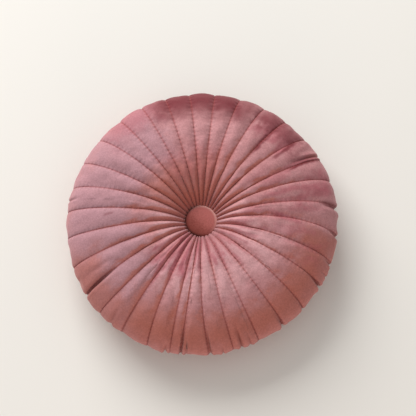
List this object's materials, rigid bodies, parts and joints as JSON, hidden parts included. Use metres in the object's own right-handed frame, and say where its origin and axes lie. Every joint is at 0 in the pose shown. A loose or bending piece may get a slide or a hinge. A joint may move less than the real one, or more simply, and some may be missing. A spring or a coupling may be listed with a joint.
{
  "type": "round throw pillow",
  "caption": "Round pleated velvet throw pillow, its wedge-shaped gores sewn from a covered centre button over the rim to a matching button on the back",
  "frame": {"origin": "Bottom centre of the bounding box, on the surface that the pillow lies on", "axes": "+Z is the way the front face looks, +Y the edge that is uppermost when the pillow stands on a seat, +X to the right of the front face"},
  "size_m": [0.4022, 0.3976, 0.096],
  "materials": {
    "cover_velvet": "short-pile velvet",
    "button_velvet": "short-pile velvet"
  },
  "bodies": {
    "root": {"cushion": "cover_velvet", "front_button": "button_velvet", "back_button": "button_velvet"}
  },
  "joints": []
}
